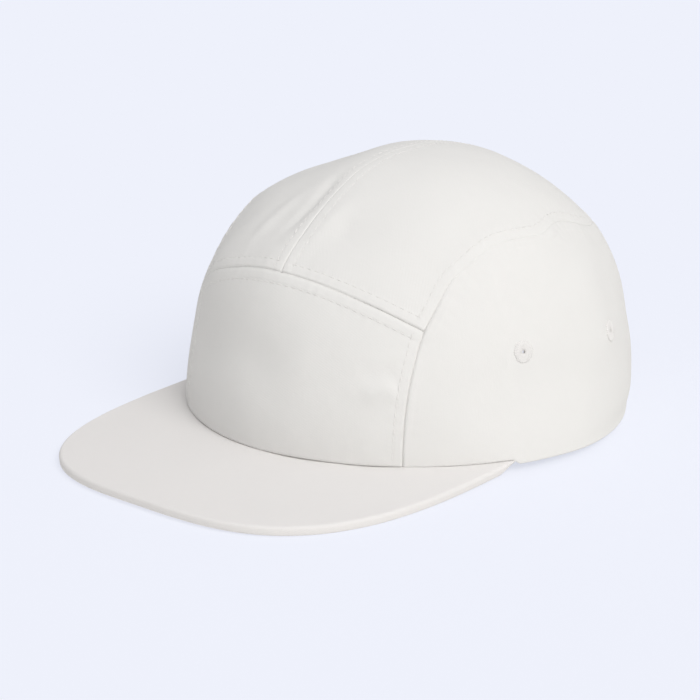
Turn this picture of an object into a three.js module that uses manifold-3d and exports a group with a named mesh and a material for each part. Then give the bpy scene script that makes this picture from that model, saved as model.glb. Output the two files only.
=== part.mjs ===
// A five panel cap of cotton twill: a front panel, two top panels joined by a seam over the head,
// two side panels that meet at the back above a strap opening, and a flat brim.
// Millimetres, +Z up. The front of the cap points to -Y and the wearer's left is +X.

import * as THREE from 'three';
import { mergeVertices } from 'three/addons/utils/BufferGeometryUtils.js';
import Module from 'manifold-3d';

const wasm = await Module();
wasm.setup();

const degree = Math.PI / 180;

// Crown
const crownHalfWidth = 91;       // middle of the cap to its side, at the hem
const crownFrontReach = 92;      // middle of the crown to the front of its hem
const crownBackReach = 99.5;     // middle of the crown to the back of its hem
const crownHeight = 107;         // top of the crown above the surface that the cap rests on
const clothThickness = 1.6;      // panel cloth with the tape behind its seams
const seamGap = 0.3;             // clearance between two pieces that are sewn together

// Rounding of the crown: 2 is an ellipse, more is squarer. The swell bows a profile out between hem and top.
const planPower = 1.9;
const frontPower = 2.1;
const sidePower = 2.3;
const backPower = 2.4;
const frontSwell = 0.015;
const sideSwell = -0.024;
const backSwell = 0.095;

// Panels
const frontPanelHalfWidth = 55.3;// middle of the cap to the upright seam, the same from hem to corner
const frontSeamHeight = 70.7;    // front panel's top seam, at the middle of the cap
const frontSeamDrop = 15.6;      // how much lower that seam is at its two corners
const sideSeamHeight = 83.2;     // highest point of the seam between top and side panels

// That seam, from the front corner round to the middle of the back.
// around: share of the way round. climb: share of the way from the corner's height to sideSeamHeight.
const sideSeam = [
  { around: 0.00, climb: 0.00 },
  { around: 0.03, climb: 0.30 },
  { around: 0.06, climb: 0.55 },
  { around: 0.10, climb: 0.70 },
  { around: 0.15, climb: 0.85 },
  { around: 0.21, climb: 0.94 },
  { around: 0.28, climb: 0.955 },
  { around: 0.34, climb: 0.935 },
  { around: 0.39, climb: 0.955 },
  { around: 0.44, climb: 0.985 },
  { around: 0.50, climb: 0.945 },
  { around: 0.63, climb: 0.71 },
  { around: 0.80, climb: 0.54 },
  { around: 1.00, climb: 0.48 },
];

// Dents of the soft crown. across, along and up are shares of crownHalfWidth, of the crown's reach
// and of crownHeight. The spreads are shares of crownHalfWidth, the depth of crownHeight.
const dents = [
  { place: 'flat top, wearer\'s right', across: -0.37, along: -0.06, up: 0.92, wide: 0.22, long: 0.30, tall: 0.26, depth: 0.046 },
  { place: 'hollow beside the seam', across: 0.21, along: -0.52, up: 0.80, wide: 0.15, long: 0.22, tall: 0.20, depth: 0.013 },
  { place: 'fold below the flat top', across: -0.19, along: -0.58, up: 0.78, wide: 0.13, long: 0.26, tall: 0.22, depth: 0.012 },
  { place: 'slack above the back', across: 0.33, along: 0.56, up: 0.82, wide: 0.28, long: 0.28, tall: 0.28, depth: 0.012 },
  { place: 'slack of the side, left', across: 0.86, along: -0.28, up: 0.24, wide: 0.20, long: 0.30, tall: 0.12, depth: 0.010 },
  { place: 'slack of the side, right', across: -0.86, along: -0.22, up: 0.27, wide: 0.20, long: 0.34, tall: 0.13, depth: 0.010 },
  { place: 'slack behind the eyelets, left', across: 0.73, along: 0.65, up: 0.34, wide: 0.22, long: 0.26, tall: 0.16, depth: 0.011 },
];

// Brim
const brimLength = 61;           // crown to the front edge, at the middle
const brimThickness = 3.6;       // covered board
const brimSpread = 65.8;         // degrees round from the front over which the brim is sewn on, each way
const brimPower = 3.1;           // rounding of the brim's front corners
const brimArchHeight = 2.0;      // how much the middle stands above the two sides
const brimDroopHeight = 2.0;     // how much the front edge hangs below the crown end
const brimEdgeRadius = 1.0;      // rounded edge of the brim

// Hem
const sideHemHeight = 2.8;       // hem above the resting surface, just behind the brim
const hemRestShare = 0.62;       // share of the back reach where the hem comes down to the surface
const hemClearTurn = 0.6;        // degrees past the brim before the hem steps down
const hemStepTurn = 2.0;         // degrees that the step takes

// Sweatband inside the hem
const bandHeight = 28;
const bandThickness = 1.2;
const bandFootHeight = 0.8;      // above the hem
const liningGap = 0.4;           // clearance of the sweatband and strap inside the panels

// Opening at the back and its strap
const openingHalfWidth = 43;
const openingHeight = 46;
const strapHeight = 20;
const strapThickness = 1.6;
const strapFootHeight = 2.6;     // above the resting surface
const strapTuckLength = 12;      // length of strap behind the panel on each side
const buckleHalfWidth = 12;
const buckleThickness = 1.5;
const buckleGap = 0.4;           // round the strap

// Stitched eyelets, two on each side
const eyeletRadius = 4.2;        // outside of the stitches
const eyeletHoleRadius = 1.2;    // radius of the air hole
const eyeletCollarRadius = 2.0;  // radius of the stitches that line the hole
const eyeletThickness = 0.8;     // height of the stitches above the cloth
const frontEyeletHeight = 44.3;  // middle of the hole above the resting surface
const rearEyeletHeight = 41.0;
const eyelets = [
  { name: 'front', turn: 70.5, height: frontEyeletHeight },
  { name: 'rear', turn: 105.5, height: rearEyeletHeight },
];

// Mesh divisions
const panelRows = 10;
const topRows = 10;
const frontColumns = 9;          // front panel, each way from its middle
const besideBrimColumns = 8;     // side panel, from the upright seam to the brim's end
const behindBrimColumns = 18;    // side panel, from the step in its hem to the middle of the back
const brimColumns = 36;
const brimRows = 6;
const bandColumns = 48;
const strapColumns = 18;
const buckleColumns = 6;
const openingSides = 20;         // half of the half-moon opening
const roundSides = 12;
const widestTurn = 80;           // degrees from the front within which the upright seam is looked for
const cutterReach = 1.4;         // share of crownBackReach at which the opening's cutter ends, outside the crown
const sleeveSpare = 1.2;         // how much longer than the buckle the cutter of its slot is

function mix(a, b, share) {
  return a + (b - a) * share;
}

function smoothStep(share) {
  const s = Math.min(1, Math.max(0, share));
  return s * s * (3 - 2 * s);
}

// Value of a table's column at a place in its key column, on a smooth curve through the rows
function tableAt(rows, key, column, place) {
  let i = 0;
  while (i < rows.length - 2 && rows[i + 1][key] < place) i += 1;
  const slope = (k) => {
    const before = rows[Math.max(0, k - 1)];
    const after = rows[Math.min(rows.length - 1, k + 1)];
    return (after[column] - before[column]) / (after[key] - before[key]);
  };
  const width = rows[i + 1][key] - rows[i][key];
  const s = (place - rows[i][key]) / width;
  const fromStart = rows[i][column] * (2 * s ** 3 - 3 * s ** 2 + 1) + slope(i) * width * (s ** 3 - 2 * s ** 2 + s);
  const fromEnd = rows[i + 1][column] * (3 * s ** 2 - 2 * s ** 3) + slope(i + 1) * width * (s ** 3 - s ** 2);
  return fromStart + fromEnd;
}

// The hem in plan. turn is the angle round from the front, positive towards the wearer's left.
function hemPlan(turn, inset = 0) {
  const across = Math.abs(Math.sin(turn)) / crownHalfWidth;
  const along = Math.abs(Math.cos(turn)) / (Math.cos(turn) > 0 ? crownFrontReach : crownBackReach);
  const reach = 1 / (across ** planPower + along ** planPower) ** (1 / planPower) - inset;
  return new THREE.Vector2(reach * Math.sin(turn), -reach * Math.cos(turn));
}

// The brim's outline and the height of its upper face
const brimEnd = hemPlan(brimSpread * degree);
const brimDepth = brimLength + crownFrontReach + brimEnd.y;

function brimOutline(share) {
  const angle = Math.PI * share;
  const power = 2 / brimPower;
  const across = Math.sign(Math.cos(angle)) * Math.abs(Math.cos(angle)) ** power;
  return new THREE.Vector2(brimEnd.x * across, brimEnd.y - brimDepth * Math.sin(angle) ** power);
}

function brimShape(x, y) {
  return brimArchHeight * (1 - (x / brimEnd.x) ** 2) - brimDroopHeight * (brimEnd.y - y) / brimDepth;
}

// The brim is set so high that its lowest edge just touches the resting surface
const outlineShares = Array.from({ length: brimColumns + 1 }, (_, k) => k / brimColumns);
const lowestEdge = Math.min(...outlineShares.map((share) => {
  const edge = brimOutline(share);
  return brimShape(edge.x, edge.y);
}));

function brimTop(x, y) {
  return brimThickness - lowestEdge + brimShape(x, y);
}

// Height of the hem: on the brim at the front, low at the sides and on the resting surface at the back
function hemHeight(turn) {
  const away = Math.abs(turn);
  const stepStart = (brimSpread + hemClearTurn) * degree;
  const foot = hemPlan(Math.min(away, stepStart));
  const onBrim = brimTop(foot.x, foot.y) + seamGap;
  if (away <= stepStart) return onBrim;
  const restY = hemRestShare * crownBackReach;
  const y = hemPlan(away).y;
  const behind = sideHemHeight * smoothStep((restY - y) / (restY - brimEnd.y));
  return mix(onBrim, behind, smoothStep((away - stepStart) / (hemStepTurn * degree)));
}

function profile(turn) {
  const endwise = Math.cos(turn) ** 2;
  const front = Math.cos(turn) > 0;
  return {
    power: mix(sidePower, front ? frontPower : backPower, endwise),
    swell: mix(sideSwell, front ? frontSwell : backSwell, endwise),
  };
}

// A point on the outside of the crown. rise runs from 0 at the hem to a quarter turn at the top.
function crownPoint(turn, rise) {
  const { power, swell } = profile(turn);
  const hem = hemHeight(turn);
  const share = Math.sin(rise) ** (2 / power);
  const foot = hemPlan(turn);
  const reach = Math.max(0, Math.cos(rise)) ** (2 / power) * (1 + 4 * swell * share * (1 - share));
  const point = new THREE.Vector3(foot.x * reach, foot.y * reach, mix(hem, crownHeight, share));
  let sink = 0;
  for (const dent of dents) {
    const reachAlong = dent.along < 0 ? crownFrontReach : crownBackReach;
    const across = (point.x / crownHalfWidth - dent.across) / dent.wide;
    const along = (point.y - dent.along * reachAlong) / (dent.long * crownHalfWidth);
    const up = (point.z - dent.up * crownHeight) / (dent.tall * crownHalfWidth);
    sink += dent.depth * crownHeight * Math.exp(-(across ** 2 + along ** 2 + up ** 2));
  }
  const inward = new THREE.Vector3(0, 0, crownHeight / 3).sub(point).normalize();
  return point.addScaledVector(inward, sink);
}

function crownNormal(turn, rise) {
  const step = 0.004;
  const at = Math.min(rise, Math.PI / 2 - 4 * step);
  const low = Math.max(0, at - step);
  const around = crownPoint(turn + step, at).sub(crownPoint(turn - step, at));
  const upward = crownPoint(turn, at + step).sub(crownPoint(turn, low));
  const normal = around.cross(upward).normalize();
  if (Math.abs(Math.sin(turn)) < 1e-6) normal.setX(0).normalize();
  if (rise === 0) normal.setZ(0).normalize();
  if (rise > Math.PI / 2 - step) normal.set(0, 0, 1);
  return normal;
}

// A point on the crown, set in from its outside by a depth
function insetPoint(turn, rise, depth) {
  return crownPoint(turn, rise).addScaledVector(crownNormal(turn, rise), -depth);
}

function riseAtHeight(turn, height) {
  const hem = hemHeight(turn);
  const share = Math.max(0, (height - hem) / (crownHeight - hem));
  return Math.asin(Math.min(1, share ** (profile(turn).power / 2)));
}

// Turn at which the crown is a given distance from the middle of the cap
function turnAtWidth(width, riseOf) {
  let low = 0;
  let high = widestTurn * degree;
  for (let i = 0; i < 40; i += 1) {
    const middle = (low + high) / 2;
    if (crownPoint(middle, riseOf(middle)).x < width) low = middle;
    else high = middle;
  }
  return (low + high) / 2;
}

const cornerHeight = frontSeamHeight - frontSeamDrop;
const cornerTurn = turnAtWidth(frontPanelHalfWidth, (turn) => riseAtHeight(turn, cornerHeight));
const cornerRise = riseAtHeight(cornerTurn, cornerHeight);

// Height of the seam under the top panels
function seamHeight(turn) {
  const away = Math.abs(turn);
  if (away <= cornerTurn) return frontSeamHeight - frontSeamDrop * (away / cornerTurn) ** 2;
  const around = Math.min(1, (away - cornerTurn) / (Math.PI - cornerTurn));
  return mix(cornerHeight, sideSeamHeight, tableAt(sideSeam, 'around', 'climb', around));
}

// Rise of a panel's edge at that seam. above is 1 for the top panels and -1 for those below.
function seamRise(turn, above) {
  const step = 0.01;
  const run = hemPlan(turn).length() * 2 * step * Math.cos(riseAtHeight(turn, seamHeight(turn)));
  const slope = (seamHeight(turn + step) - seamHeight(turn - step)) / run;
  const halfGap = (seamGap / 2) * Math.sqrt(1 + slope ** 2);
  return riseAtHeight(turn, seamHeight(turn) + above * halfGap);
}

// Upright seam beside the front panel, at a share of the way from the hem to its corner
function uprightTurn(share, width) {
  return turnAtWidth(width, () => share * cornerRise);
}

// Joins vertices that coincide, drops triangles that have collapsed and turns the faces outwards
function closedGeometry(points, triangles) {
  const seen = new Map();
  const vertices = [];
  const index = points.map((p) => {
    const key = [p.x, p.y, p.z].map((v) => Math.round(v * 1e4)).join();
    if (!seen.has(key)) {
      seen.set(key, vertices.length / 3);
      vertices.push(p.x, p.y, p.z);
    }
    return seen.get(key);
  });
  const kept = triangles
    .map((triangle) => triangle.map((corner) => index[corner]))
    .filter(([a, b, c]) => a !== b && b !== c && c !== a);
  const at = (i) => new THREE.Vector3().fromArray(vertices, i * 3);
  const volume = kept.reduce((sum, [a, b, c]) => sum + at(a).dot(at(b).cross(at(c))), 0);
  const geometry = new THREE.BufferGeometry();
  geometry.setAttribute('position', new THREE.Float32BufferAttribute(vertices, 3));
  geometry.setIndex(kept.flatMap(([a, b, c]) => (volume > 0 ? [a, b, c] : [a, c, b])));
  geometry.computeVertexNormals();
  return geometry;
}

// A body through closed sections. Each section runs out along one face and back along the other.
function loft(sections) {
  const size = sections[0].length;
  const last = (sections.length - 1) * size;
  const triangles = [];
  const quad = (a, b, c, d) => triangles.push([a, b, c], [a, c, d]);
  for (let k = 0; k < sections.length - 1; k += 1) {
    for (let i = 0; i < size; i += 1) {
      const j = (i + 1) % size;
      quad(k * size + i, (k + 1) * size + i, (k + 1) * size + j, k * size + j);
    }
  }
  for (let i = 0; i < size / 2 - 1; i += 1) {
    quad(i, i + 1, size - 2 - i, size - 1 - i);
    quad(last + i, last + size - 1 - i, last + size - 2 - i, last + i + 1);
  }
  return closedGeometry(sections.flat(), triangles);
}

// A panel of cloth. Each column is a list of places on the crown, as turn and rise.
function clothPanel(columns, side = 0) {
  const sections = columns.map((places) => {
    const outer = places.map(([turn, rise]) => insetPoint(turn, rise, 0));
    const inner = places.map(([turn, rise]) => insetPoint(turn, rise, clothThickness));
    return [...outer, ...inner.reverse()];
  });
  for (const point of sections.flat()) {
    point.x += side * (seamGap / 2) * (1 - Math.min(1, Math.abs(point.x) / crownHalfWidth));
  }
  return loft(sections);
}

const rowShares = Array.from({ length: panelRows + 1 }, (_, i) => i / panelRows);
const frontShares = Array.from({ length: frontColumns + 1 }, (_, i) => i / frontColumns);
const hemCornerTurn = uprightTurn(0, frontPanelHalfWidth);
const brimEndShare = ((brimSpread + hemClearTurn) * degree - hemCornerTurn) / (Math.PI - hemCornerTurn);
const stepEndShare = brimEndShare + (hemStepTurn * degree) / (Math.PI - hemCornerTurn);
const sideShares = [
  ...Array.from({ length: besideBrimColumns + 1 }, (_, i) => (brimEndShare * i) / besideBrimColumns),
  ...Array.from({ length: behindBrimColumns + 1 }, (_, i) => mix(stepEndShare, 1, i / behindBrimColumns)),
];

function frontPanel() {
  const uprights = rowShares.map((row) => uprightTurn(row, frontPanelHalfWidth - seamGap / 2));
  const shares = [...frontShares.slice(1).reverse().map((share) => -share), ...frontShares];
  return clothPanel(shares.map((share) => {
    const top = seamRise(share * cornerTurn, -1);
    return rowShares.map((row, i) => [share * uprights[i], row * top]);
  }));
}

function sidePanel(side) {
  const uprights = rowShares.map((row) => uprightTurn(row, frontPanelHalfWidth + seamGap / 2));
  return clothPanel(sideShares.map((share) => {
    const top = seamRise(mix(cornerTurn, Math.PI, share), -1);
    return rowShares.map((row, i) => [side * mix(uprights[i], Math.PI, share), row * top]);
  }), side);
}

function topPanel(side) {
  const turns = [
    ...frontShares.map((share) => share * cornerTurn),
    ...sideShares.slice(1).map((share) => mix(cornerTurn, Math.PI, share)),
  ];
  return clothPanel(turns.map((turn) => {
    const foot = seamRise(turn, 1);
    return Array.from({ length: topRows + 1 }, (_, i) => [side * turn, mix(foot, Math.PI / 2, i / topRows)]);
  }), side);
}

function brim() {
  return loft(outlineShares.map((share) => {
    const inner = hemPlan(mix(1, -1, share) * brimSpread * degree, clothThickness);
    const outer = brimOutline(share);
    const round = Math.min(brimEdgeRadius, inner.distanceTo(outer) / 3);
    const edge = outer.clone().lerp(inner, round / inner.distanceTo(outer));
    const across = Array.from({ length: brimRows + 1 }, (_, i) => inner.clone().lerp(edge, i / brimRows));
    const upper = across.map((p) => new THREE.Vector3(p.x, p.y, brimTop(p.x, p.y)));
    const lower = across.map((p) => new THREE.Vector3(p.x, p.y, brimTop(p.x, p.y) - brimThickness));
    const rim = brimTop(outer.x, outer.y);
    upper.push(new THREE.Vector3(outer.x, outer.y, rim - round));
    lower.push(new THREE.Vector3(outer.x, outer.y, rim - brimThickness + round));
    return [...upper, ...lower.reverse()];
  }));
}

// A band that follows the inside of the crown between two turns and two heights
function bentBand({ from, to, columns, low, high, rows, depth, thickness }) {
  return loft(Array.from({ length: columns + 1 }, (_, k) => {
    const turn = mix(from, to, k / columns);
    const rises = Array.from({ length: rows + 1 }, (_, i) => (
      riseAtHeight(turn, mix(low(turn), high(turn), i / rows))
    ));
    const outer = rises.map((rise) => insetPoint(turn, rise, depth));
    const inner = rises.map((rise) => insetPoint(turn, rise, depth + thickness));
    return [...outer, ...inner.reverse()];
  }));
}

const strapHalfTurn = Math.asin(openingHalfWidth / crownBackReach) + strapTuckLength / crownBackReach;
const strapDepth = clothThickness + liningGap;

function sweatband() {
  const end = Math.PI - strapHalfTurn - seamGap / crownBackReach;
  return bentBand({
    from: -end,
    to: end,
    columns: bandColumns,
    low: (turn) => hemHeight(turn) + bandFootHeight,
    high: (turn) => hemHeight(turn) + bandFootHeight + bandHeight,
    rows: 3,
    depth: strapDepth,
    thickness: bandThickness,
  });
}

function backStrap() {
  return bentBand({
    from: Math.PI - strapHalfTurn,
    to: Math.PI + strapHalfTurn,
    columns: strapColumns,
    low: () => strapFootHeight,
    high: () => strapFootHeight + strapHeight,
    rows: 2,
    depth: strapDepth,
    thickness: strapThickness,
  });
}

function toSolid(geometry) {
  const bare = geometry.clone();
  bare.deleteAttribute('normal');
  bare.deleteAttribute('uv');
  const merged = mergeVertices(bare, 1e-4);
  return new wasm.Manifold(new wasm.Mesh({
    numProp: 3,
    vertProperties: new Float32Array(merged.attributes.position.array),
    triVerts: new Uint32Array(merged.index.array),
  }));
}

function toGeometry(solid) {
  const { vertProperties, triVerts } = solid.getMesh();
  const geometry = new THREE.BufferGeometry();
  geometry.setAttribute('position', new THREE.Float32BufferAttribute(vertProperties, 3));
  geometry.setIndex(Array.from(triVerts));
  geometry.computeVertexNormals();
  return geometry;
}

// A plain sleeve round the middle of the strap
function strapBuckle() {
  const halfTurn = buckleHalfWidth / crownBackReach;
  const sleeve = (grow, reach) => bentBand({
    from: Math.PI - reach * halfTurn,
    to: Math.PI + reach * halfTurn,
    columns: buckleColumns,
    low: () => strapFootHeight - grow,
    high: () => strapFootHeight + strapHeight + grow,
    rows: 2,
    depth: strapDepth - grow,
    thickness: strapThickness + 2 * grow,
  });
  const outside = toSolid(sleeve(buckleGap + buckleThickness, 1));
  return toGeometry(outside.subtract(toSolid(sleeve(buckleGap, sleeveSpare))));
}

// Half-moon opening above the strap
function openingCutter() {
  const shape = new THREE.Shape();
  shape.moveTo(-openingHalfWidth, -openingHeight);
  shape.lineTo(openingHalfWidth, -openingHeight);
  shape.lineTo(openingHalfWidth, 0);
  shape.absellipse(0, 0, openingHalfWidth, openingHeight, 0, Math.PI);
  const depth = crownBackReach;
  const cutter = new THREE.ExtrudeGeometry(shape, { depth, bevelEnabled: false, curveSegments: openingSides });
  return cutter.rotateX(Math.PI / 2).translate(0, cutterReach * depth, 0);
}

function eyeletPlace(eyelet, side) {
  const turn = side * eyelet.turn * degree;
  const rise = riseAtHeight(turn, eyelet.height);
  const out = crownNormal(turn, rise);
  return {
    position: crownPoint(turn, rise),
    quaternion: new THREE.Quaternion().setFromUnitVectors(new THREE.Vector3(0, 1, 0), out),
  };
}

function eyeletCutter(eyelet, side) {
  const place = eyeletPlace(eyelet, side);
  const radius = eyeletCollarRadius + seamGap;
  const cutter = new THREE.CylinderGeometry(radius, radius, 6 * clothThickness, roundSides);
  return cutter.applyQuaternion(place.quaternion).translate(...place.position);
}

// Stitches lie on the cloth as a low ring and line the air hole
function eyeletRing() {
  const top = seamGap + eyeletThickness;
  return new THREE.LatheGeometry([
    new THREE.Vector2(eyeletHoleRadius, -clothThickness),
    new THREE.Vector2(eyeletCollarRadius, -clothThickness),
    new THREE.Vector2(eyeletCollarRadius, seamGap),
    new THREE.Vector2(eyeletRadius, seamGap),
    new THREE.Vector2(eyeletRadius, seamGap + eyeletThickness / 2),
    new THREE.Vector2(mix(eyeletRadius, eyeletCollarRadius, 0.35), top),
    new THREE.Vector2(eyeletCollarRadius, top),
    new THREE.Vector2(eyeletHoleRadius, seamGap),
    new THREE.Vector2(eyeletHoleRadius, -clothThickness),
  ], roundSides);
}

function cutSidePanel(side) {
  let solid = toSolid(sidePanel(side)).subtract(toSolid(openingCutter()));
  for (const eyelet of eyelets) solid = solid.subtract(toSolid(eyeletCutter(eyelet, side)));
  return toGeometry(solid);
}

const twill = { color: 0xf0edea, roughness: 0.9, metalness: 0 };

function piece(name, geometry, look = twill) {
  const mesh = new THREE.Mesh(geometry, new THREE.MeshStandardMaterial(look));
  mesh.name = name;
  return mesh;
}

const cap = new THREE.Group();
cap.add(
  piece('front_panel', frontPanel()),
  piece('top_panel_left', topPanel(1)),
  piece('top_panel_right', topPanel(-1)),
  piece('side_panel_left', cutSidePanel(1)),
  piece('side_panel_right', cutSidePanel(-1)),
  piece('brim', brim(), { ...twill, color: 0xe9e5e1 }),
  piece('sweatband', sweatband(), { ...twill, color: 0xebe8e4 }),
  piece('back_strap', backStrap(), { ...twill, color: 0xe6e2de }),
  piece('strap_buckle', strapBuckle(), { color: 0xdcdad8, roughness: 0.45, metalness: 0 }),
);

for (const [sideName, side] of [['left', 1], ['right', -1]]) {
  for (const eyelet of eyelets) {
    const place = eyeletPlace(eyelet, side);
    const ring = piece(`eyelet_${sideName}_${eyelet.name}`, eyeletRing(), { ...twill, color: 0xefece9 });
    ring.position.copy(place.position);
    ring.quaternion.copy(place.quaternion);
    cap.add(ring);
  }
}

// The origin is on the resting surface, under the middle of the whole cap from brim to back
const box = new THREE.Box3().setFromObject(cap, true);
cap.position.set(0, -(box.min.y + box.max.y) / 2, -box.min.z);

export default cap;
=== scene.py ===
# A five panel cap in pale cotton twill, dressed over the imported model. Metres, +Z up, the front of the cap
# towards -Y and the wearer's left towards +X.
import math
import bmesh
import bpy
import numpy as np
from mathutils import Matrix, Vector
from mathutils.bvhtree import BVHTree
from mathutils.kdtree import KDTree


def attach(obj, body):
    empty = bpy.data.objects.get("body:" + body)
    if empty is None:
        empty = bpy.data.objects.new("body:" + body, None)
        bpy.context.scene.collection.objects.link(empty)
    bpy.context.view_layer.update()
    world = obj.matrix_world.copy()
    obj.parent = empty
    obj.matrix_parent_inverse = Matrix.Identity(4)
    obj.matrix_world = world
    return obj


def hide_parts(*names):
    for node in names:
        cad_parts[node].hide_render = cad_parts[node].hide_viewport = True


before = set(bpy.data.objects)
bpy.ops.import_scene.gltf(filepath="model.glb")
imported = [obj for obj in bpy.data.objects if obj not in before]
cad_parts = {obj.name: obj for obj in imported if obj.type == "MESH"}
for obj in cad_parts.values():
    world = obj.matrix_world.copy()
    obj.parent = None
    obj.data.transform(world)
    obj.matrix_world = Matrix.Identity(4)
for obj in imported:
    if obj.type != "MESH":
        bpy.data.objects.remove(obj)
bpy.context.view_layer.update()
print("frame loaded")

# ---- camera, first because nothing depends on it

cameraView = {
    "azimuth": 39.927,        # degrees round from the front, towards the wearer's left
    "elevation": 17.582,
    "roll": 0.292,
    "distance": 0.82148,
    "aim": (-0.01057, 0.00183, 0.02583),
    "lens": 104.43,
    "sensor": 36,
    "clip": (0.05, 40),
}


def pointing(azimuth, elevation):
    return Vector((math.sin(azimuth) * math.cos(elevation), -math.cos(azimuth) * math.cos(elevation),
                   math.sin(elevation)))


def placeCamera(view):
    data = bpy.data.cameras.new("camera")
    data.lens = view["lens"]
    data.sensor_width = view["sensor"]
    data.clip_start, data.clip_end = view["clip"]
    camera = bpy.data.objects.new("camera", data)
    bpy.context.collection.objects.link(camera)
    azimuth, elevation, roll = (math.radians(view[key]) for key in ("azimuth", "elevation", "roll"))
    right = Vector((math.cos(azimuth), math.sin(azimuth), 0))
    back = pointing(azimuth, elevation)
    up = back.cross(right)
    across = right * math.cos(roll) - up * math.sin(roll)
    upright = right * math.sin(roll) + up * math.cos(roll)
    turned = Matrix((across, upright, back)).transposed().to_4x4()
    camera.matrix_world = Matrix.Translation(Vector(view["aim"]) + back * view["distance"]) @ turned
    bpy.context.scene.camera = camera


placeCamera(cameraView)

# ---- the crown's form, as in the source but for the step in the hem behind the brim

# turn is the angle round from the front, positive towards the wearer's left. rise runs from 0 at the hem to a
# quarter turn at the top.
crown = {
    "middle": 0.024111,       # the crown's middle along y, as the origin is under the whole cap's middle
    "halfWidth": 0.091,
    "frontReach": 0.092,
    "backReach": 0.0995,
    "height": 0.107,
    "planPower": 1.9,
    "frontPower": 2.1,
    "sidePower": 2.3,
    "backPower": 2.4,
    "frontSwell": 0.015,
    "sideSwell": -0.024,
    "backSwell": 0.095,
    "cloth": 0.0015,          # thickness of a panel
    "overlap": 0.0001,        # how far two sewn edges run into each other at the foot of their groove
}
widestTurn = math.radians(80)   # from the front, within which the upright seam is looked for

# The soft dents of the crown: across, along, up, wide, long, tall and depth, as shares of the crown's sizes
dents = np.array([
    (-0.37, -0.06, 0.92, 0.22, 0.30, 0.26, 0.046),
    (0.21, -0.52, 0.80, 0.15, 0.22, 0.20, 0.013),
    (-0.19, -0.58, 0.78, 0.13, 0.26, 0.22, 0.012),
    (0.33, 0.56, 0.82, 0.28, 0.28, 0.28, 0.012),
    (0.86, -0.28, 0.24, 0.20, 0.30, 0.12, 0.010),
    (-0.86, -0.22, 0.27, 0.20, 0.34, 0.13, 0.010),
    (0.73, 0.65, 0.34, 0.22, 0.26, 0.16, 0.011),
])

panelPlan = {
    "frontHalfWidth": 0.0553,
    "frontSeamHeight": 0.0707,
    "frontSeamDrop": 0.0156,
    "sideSeamHeight": 0.0832,
}

# around and climb of the seam between side and top panels
sideSeam = np.array([
    (0.00, 0.00), (0.03, 0.30), (0.06, 0.55), (0.10, 0.70), (0.15, 0.85), (0.21, 0.94), (0.28, 0.955),
    (0.34, 0.935), (0.39, 0.955), (0.44, 0.985), (0.50, 0.945), (0.63, 0.71), (0.80, 0.54), (1.00, 0.48),
])

brimPlan = {
    "length": 0.061,
    "thickness": 0.0036,
    "spread": math.radians(65.8),
    "power": 3.1,
    "arch": 0.0020,
    "droop": 0.0020,
}

hemPlanValues = {
    "sideLift": 0.0028,
    "restShare": 0.62,
    "clearTurn": math.radians(-0.8),
    "stepTurn": math.radians(2.4),
    "gap": 0.0003,
}


def mix(a, b, share):
    return a + (b - a) * share


def smoothStep(share):
    s = np.clip(share, 0, 1)
    return s * s * (3 - 2 * s)


def hill(distance, width):
    return np.exp(-(distance / width) ** 2)


def hemPlan(turn, inset=0.0):
    along = np.where(np.cos(turn) > 0, crown["frontReach"], crown["backReach"])
    power = crown["planPower"]
    total = (np.abs(np.sin(turn)) / crown["halfWidth"]) ** power + (np.abs(np.cos(turn)) / along) ** power
    reach = total ** (-1 / power) - inset
    return reach * np.sin(turn), -reach * np.cos(turn)


brimEndX, brimEndY = (float(v) for v in hemPlan(brimPlan["spread"]))
brimDepth = brimPlan["length"] + crown["frontReach"] + brimEndY


def brimOutline(share):
    angle = np.pi * np.asarray(share)
    power = 2 / brimPlan["power"]
    across = np.sign(np.cos(angle)) * np.abs(np.cos(angle)) ** power
    return brimEndX * across, brimEndY - brimDepth * np.abs(np.sin(angle)) ** power


def brimShape(x, y):
    return brimPlan["arch"] * (1 - (x / brimEndX) ** 2) - brimPlan["droop"] * (brimEndY - y) / brimDepth


lowestEdge = brimShape(*brimOutline(np.linspace(0, 1, 37))).min()


def brimTop(x, y):
    return brimPlan["thickness"] - lowestEdge + brimShape(x, y)


def hemHeight(turn):
    away = np.abs(turn)
    stepStart = brimPlan["spread"] + hemPlanValues["clearTurn"]
    onBrim = brimTop(*hemPlan(np.minimum(away, stepStart))) + hemPlanValues["gap"]
    restY = hemPlanValues["restShare"] * crown["backReach"]
    behind = hemPlanValues["sideLift"] * smoothStep((restY - hemPlan(away)[1]) / (restY - brimEndY))
    return mix(onBrim, behind, smoothStep((away - stepStart) / hemPlanValues["stepTurn"]))


def profile(turn):
    endwise = np.cos(turn) ** 2
    front = np.cos(turn) > 0
    power = mix(crown["sidePower"], np.where(front, crown["frontPower"], crown["backPower"]), endwise)
    swell = mix(crown["sideSwell"], np.where(front, crown["frontSwell"], crown["backSwell"]), endwise)
    return power, swell


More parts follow.
